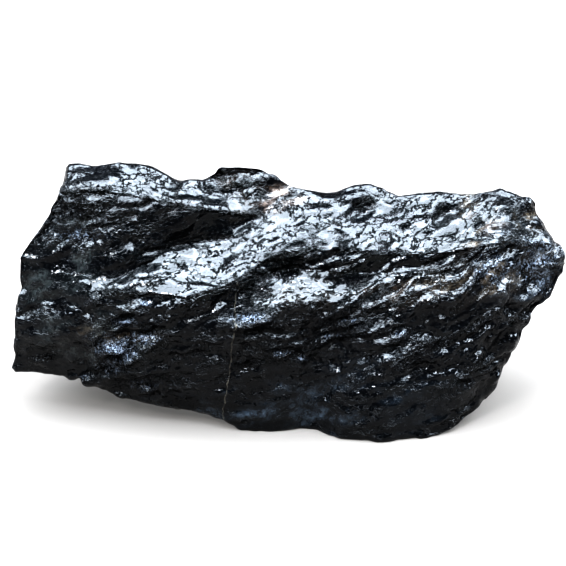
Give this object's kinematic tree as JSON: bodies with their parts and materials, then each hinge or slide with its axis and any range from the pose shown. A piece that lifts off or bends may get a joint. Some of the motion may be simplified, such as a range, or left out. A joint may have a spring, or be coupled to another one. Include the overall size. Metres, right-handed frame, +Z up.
{
  "type": "morion quartz",
  "caption": "Rough elongated lump of black smoky quartz with stepped, flaky fracture faces and a flat patch underneath on which it rests.",
  "frame": {"origin": "on the surface it rests on, under the middle of its bounding box", "axes": "+X along the stone towards its narrow, crumbly end; -Y out of the main fracture face; +Z up"},
  "size_m": [0.125, 0.0432, 0.0573],
  "materials": {
    "morion": "opaque smoky-black quartz with glassy fracture faces, thin grey and tan veils and one pale hairline vein"
  },
  "bodies": {
    "root": {"morion_quartz": "morion"}
  },
  "joints": []
}
